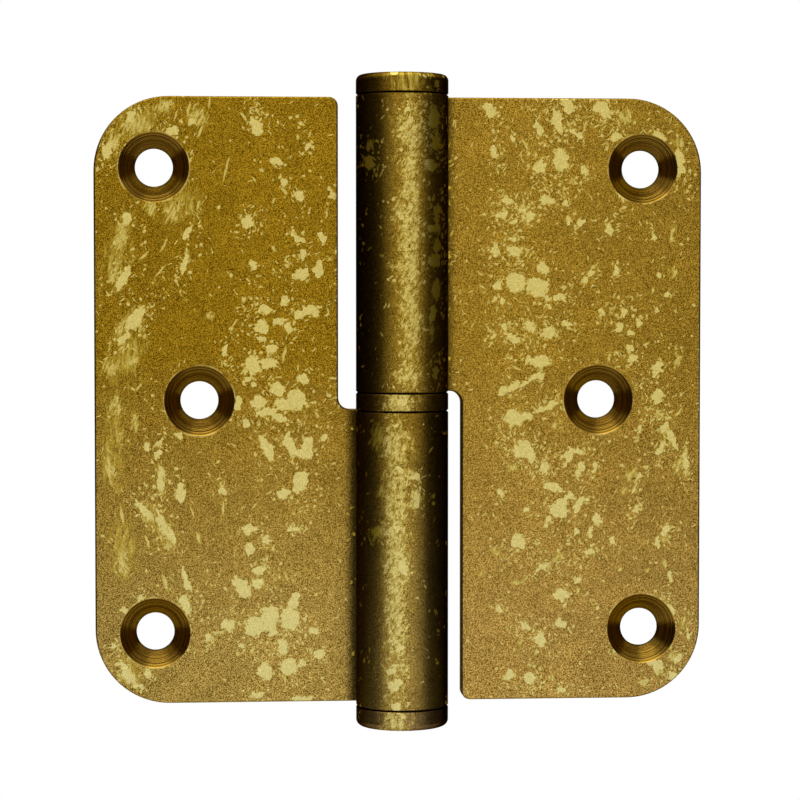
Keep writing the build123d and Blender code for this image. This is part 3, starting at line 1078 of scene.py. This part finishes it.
DOOR_LEAF = Wear(
    chips=rubs(
        (12, 38.3, 1.4, 2, -40), (22.3, 39, 1.4, 2.2, -30), (20.9, 36.9, 1.3, 2.6, -20),
        (18.3, 36.1, 0.9, 2, -25), (23.2, 35.4, 0.7, 2.6, -60), (27.2, 38.6, 1.6, 2.4, -20),
        (26.1, 38.7, 1, 0.9), (15, 34.7, 0.5, 1.1, -20), (12.6, 32.8, 0.8, 1.8, -25), (21.3, 31.9, 1.8, 3),
        (18.6, 30.8, 1.6, 1.8), (19.3, 33.5, 0.6, 0.6), (28.7, 34.9, 1.6, 1.2, -20),
        (34.6, 34.7, 1.7, 1.9, -40), (37.4, 31.7, 1, 3.2, -10), (14.3, 26.7, 1, 1.1), (19.5, 26.6, 2, 1.1),
        (16.2, 25.1, 1.3, 0.8), (17.2, 24.3, 0.9, 1.3, 20), (16.3, 24, 0.5, 0.8), (13.5, 24.5, 1.4, 1.1),
        (15.1, 23.5, 0.8, 0.6), (27.9, 22.5, 1.2, 1.2), (15, 21.5, 1.2, 0.7), (12.7, 19.8, 1.3, 1.4),
        (15.2, 19.7, 1.6, 1.3), (19.1, 17.5, 1.2, 1.6, -60), (28.7, 17.3, 0.6, 1.4, -10),
        (25.2, 16.3, 0.6, 1.9, 45), (26, 15.3, 0.6, 0.5), (22.1, 26.2, 0.5, 1.2, -25),
        (24, 23.4, 0.7, 1, 20), (22.4, 23.8, 0.5, 1, -20), (15.5, 15.6, 2.4, 2.4), (18.3, 15, 2.8, 2.4),
        (13, 15.2, 1.1, 1.3), (12.6, 13.4, 0.7, 0.6), (13.7, 13.2, 0.5, 0.8), (21.4, 13.6, 1.6, 0.8),
        (21.9, 13.2, 0.5, 0.9), (19.8, 13.4, 0.6, 0.8), (19.8, 12.3, 0.5, 0.5), (30, 11.7, 1.1, 1.1),
        (29.4, 9.7, 1.2, 1.1), (30.7, 8.8, 0.9, 0.6), (32, 10.3, 0.8, 0.7), (30.7, 6.8, 0.9, 0.6),
        (31, 5.5, 1.2, 1.3, 40), (17.4, 9.7, 1.1, 1.5, -60), (19.8, 8.9, 1.6, 1.6),
        (22.4, 10, 0.5, 1.5, -70), (14, 9.7, 0.7, 0.9), (14.7, 8.4, 0.9, 1.4, -40), (15.7, 7.8, 0.8, 0.8),
        (18.8, 5.1, 2.9, 1.5), (17, 5.5, 0.9, 0.6), (18.2, 3, 0.8, 2.4, 65), (16.7, 2.1, 0.5, 2.4, 65),
        (14.9, 1.7, 0.8, 2.2, 65), (13.8, 1.3, 0.8, 1.2, 20), (34.4, 4.1, 1.3, 2.4, 25),
        (34.6, 0.3, 1.3, 2, 10), (15, -2.4, 1.9, 2.2), (16.5, -2.3, 2.6, 0.9), (19.4, -1, 0.8, 2.8, 70),
        (16.5, -6.6, 2.2, 2.2), (17.2, -7.5, 1.3, 2.2, -60), (22.9, -7.2, 0.8, 3, 70),
        (22.4, -8.2, 0.7, 1.8, 40), (24, -9.3, 0.8, 1.6, 20), (19.4, -9.1, 1.1, 1.1),
        (20.5, -11.7, 0.9, 2.4, -75), (21.2, -14.4, 2, 2.4, 30), (22.5, -13, 0.8, 1.8, 55),
        (23.7, -14.1, 0.8, 2.4, 25), (24.7, -13.4, 0.7, 1.6, -65), (19.8, -16.1, 0.6, 1.8, 20),
        (21.8, -15.3, 0.9, 1.4, 40), (26.4, -16.1, 1.1, 1.6), (25.7, -17.7, 0.5, 1.4, 20),
        (23.4, -17.7, 0.7, 1), (16.8, -14.7, 0.6, 0.6), (26, -9, 0.6, 1.4, 25), (15.7, -18.9, 1.9, 1.6),
        (25.4, -20.3, 0.6, 1.8, 45), (19, -22.5, 0.7, 2, 55), (21.7, -26, 1.9, 1.7),
        (23.9, -24.3, 0.6, 0.8, 40), (22.2, -27.5, 0.6, 0.7), (21.4, -29.8, 1.3, 1.2),
        (16.8, -30.3, 1.2, 1.1), (18.8, -32.2, 1.4, 1.6), (17.4, -37.2, 1.4, 1.4), (14.6, -36.9, 1, 1.2),
        (21.6, -38.8, 1.3, 0.6), (28.8, -33.7, 0.5, 0.6), (33.9, -34.6, 1.2, 2, 20),
        (36.2, -28.2, 0.6, 1.6, -25), (33.9, 21.5, 0.6, 1.4, -20), (34.5, 16.6, 0.7, 0.8),
        (34.4, 12, 0.5, 0.9), (35.7, 14.2, 0.8, 0.6), (32, -4.1, 0.5, 1.2, 20), (35, -6.5, 0.7, 2.2, 20),
        (0.3, 37.7, 0.8, 0.7), (-0.5, 35.3, 0.7, 0.8), (0.7, 30.9, 0.5, 0.6), (3.6, 30.6, 1.9, 1.6, -20),
        (4.2, 36.6, 1.7, 2.4, 20), (-5.2, 31, 1.3, 1.5), (4.4, 14.6, 1.4, 2.6), (4.4, 33.6, 1.3, 2),
        (4.7, 24.6, 1.1, 2.2, 20), (4.1, 22.6, 2.2, 1), (4.6, 20.2, 1.2, 1.6, 20),
        (4.4, 18.3, 1.9, 1.6, -20), (3.9, 11.6, 1, 2.2, 20), (4.5, 3.6, 0.9, 1.8), (26.5, -27.8, 0.6, 1, 20),
        (28.4, -18.9, 0.6, 1.2, -20), (13.2, -12.4, 0.8, 0.8), (29.6, 27, 0.6, 1.4, -20),
        (24.6, 30.4, 0.7, 1.1, -30), (12.3, 8.6, 0.6, 1, 20), (26.9, 11.6, 0.6, 1, -20),
        (13.4, -27.9, 0.7, 0.9), (31.6, -14.6, 0.6, 1.5, 20), (34.7, -35.8, 1.1, 1.7, 20),
        (37.4, -34.9, 0.7, 1.7, 20), (36.6, -37.1, 1.3, 0.8), (38.8, -31.2, 0.5, 1.8),
        (35.6, -17.4, 0.9, 1.8, 20), (34.5, -19.2, 0.7, 1.4, 20), (36.4, -5.4, 0.9, 2.2, -10),
        (35.4, -3.8, 0.7, 1.4, 20), (32, -10.6, 0.6, 1.7, 20), (31.2, -12.3, 0.5, 1.2, 20),
        (38.2, -8.2, 0.5, 2.4, -10), (36.4, -23.6, 0.6, 1.6)) + rubs(
        (35.4, 27.5, 0.9, 2.2, -20), (22.6, 21.2, 1.4, 1.2), (21, 19.8, 0.8, 1.3, 20),
        (13.8, 34.2, 1.1, 1.4), (30.4, 8.4, 0.8, 2.4, 25), (16.5, 10.6, 1.5, 1.3),
        (17.9, 8.9, 0.8, 1.4, -40), (33.6, -12, 1, 1.9, -20), (14.4, -18.2, 1.3, 1.4),
        (25.6, -25.2, 0.9, 1.5, 25), (19.6, -34.6, 1.2, 1), (36.8, -30, 0.8, 1.6, 20), behind=True),
    scratches=rubs(
        (25.4, 26.8, 0.25, 1, -30), (22.7, -21.7, 0.3, 1.2, 15), (22.8, -31, 0.3, 1.2, -35),
        (18.2, -33.8, 0.3, 1, 30), (20.5, -37.3, 0.35, 1.1), (25.4, -33.8, 0.6, 0.35),
        (15.5, 4.2, 0.4, 1.6, -65), (11, 14.9, 0.25, 1.4, -60), (9.4, 14.4, 0.25, 1, 65),
        (10.7, 16.8, 0.3, 1.2, -60), (12.9, 12.1, 0.2, 0.9), (33.8, 14.5, 0.35, 1),
        (37.3, -1.8, 0.35, 1.8, 40), (27.9, 5.5, 0.45, 0.9), (20.6, -3.4, 0.45, 0.9, 40),
        (16.6, 33.9, 0.25, 2.2, -35), (24.6, 36.4, 0.3, 1.4, 20), (36.4, -33, 0.4, 1.2),
        (29.2, 36.6, 0.25, 1.6, -25), (33, 7.4, 0.25, 0.9, 70)),
    scuffs=rubs(
        (36.4, 22, 1.2, 3.4), (36.7, 16.8, 1.6, 2.4), (37.1, 5.3, 1.4, 2.6), (35.9, -4.9, 2.2, 3.2, -15),
        (30.8, -10, 1.2, 3.2, 20), (38.3, -6.7, 0.8, 4), (37.3, -9.1, 1.6, 3.2), (38.4, -10, 0.8, 2),
        (31.4, -9.7, 1.2, 1.4), (29.9, -12, 1, 2, 20), (15, -9, 1.9, 1.6), (12.9, -20.3, 1.4, 1.6),
        (21.4, -20.9, 1.6, 1.6), (15.7, -24.3, 2, 1.4), (23.7, -25.5, 1, 1.6, 15), (16.1, -32.4, 1.2, 1.6),
        (17.3, -35.4, 1.4, 0.9), (36.7, -34.6, 2, 1.8), (34.9, -36.4, 2.2, 2, -30),
        (32.7, -37.8, 1.4, 2, 60), (38, -30, 1.2, 3), (35.5, -22.1, 1, 2.2, -10), (33.1, -19.1, 1, 1.4),
        (35.3, -18.9, 1.1, 1.4), (33.2, -22.7, 0.8, 1), (10.5, -23.1, 1.2, 1.2), (15.4, -2.2, 3.2, 3.2),
        (34.8, -2, 1.2, 2), (30, 37.6, 3, 2.6, -25), (37.3, 34, 1.6, 3, -30), (4.3, 36.7, 2.2, 3.6),
        (4.8, 33.6, 2, 2.4), (4.4, 20.3, 2, 2.6), (4.4, 14.6, 2.2, 3.4), (-5.2, 31, 2, 2.2),
        (-5.1, 33.2, 1.5, 1.7), (3.6, 9.4, 1.6, 2.4)) + rubs(
        (37.6, 12, 2.4, 11, -10), (37.2, -16, 2.4, 8, 10), (26, 37, 7, 2.4), (29, -36, 6, 2.4),
        (15, -4, 4, 7, -20), behind=True),
    # The knuckle's rubbed flecks run along its lit front strip and are partly a painted highlight.
    sheen_and_highlight=rubs(
        (0.6, 20.6, 4.6, 64), (0.5, 35, 6, 9), (0, 24.6, 5.6, 5.6), (0.2, 17.4, 6.4, 5), (0.9, 10, 4.8, 10),
        (0.3, 3.6, 6.2, 5.6)),
    unworn_and_shaded=-1,
    specks=1.45)

# On the ring and the caps the rubbed patches lie on the lit front and are partly a painted highlight; the
# bottom cap's darker right side is painted shade.
BARREL = {
    "top_cap": Wear(
        chips=rubs((-1.5, 42.5, 1, 1), (2.8, 41.8, 0.6, 0.8, -30), (4.4, 41.2, 1, 1.2)),
        haze=rubs((0.2, 41.4, 6.4, 8)), specks=0.5),
    "bearing_ring": Wear(
        chips=rubs((-0.4, 0.1, 1.2, 0.9)), sheen_and_highlight=rubs((-0.9, 0, 7, 8)), specks=0.5),
    "bottom_cap": Wear(
        sheen_and_highlight=rubs((-1.3, -41.4, 5.6, 9)), unworn_and_shaded=1, specks=0.5),
}


def main() -> None:
    """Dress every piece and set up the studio."""
    logging.basicConfig(level=logging.INFO, format="%(name)s %(message)s")
    Leaf(Hand.FRAME, "frame_leaf", AntiquedBrass(Tone("#8c6b12", "#a2853c")), FRAME_LEAF).dress()
    Leaf(Hand.DOOR, "door_leaf", AntiquedBrass(Tone("#967522", "#a5843c")), DOOR_LEAF).dress()
    Barrel(AntiquedBrass(Tone("#7d5f16", "#8f7340")), TurnedSteel(), BARREL).dress()
    Studio().build()
    boxes = {name: [list(corner) for corner in box]
             for name, box in (("cad", cad_box), ("visual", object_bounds()))}


if __name__ == "__main__":
    main()
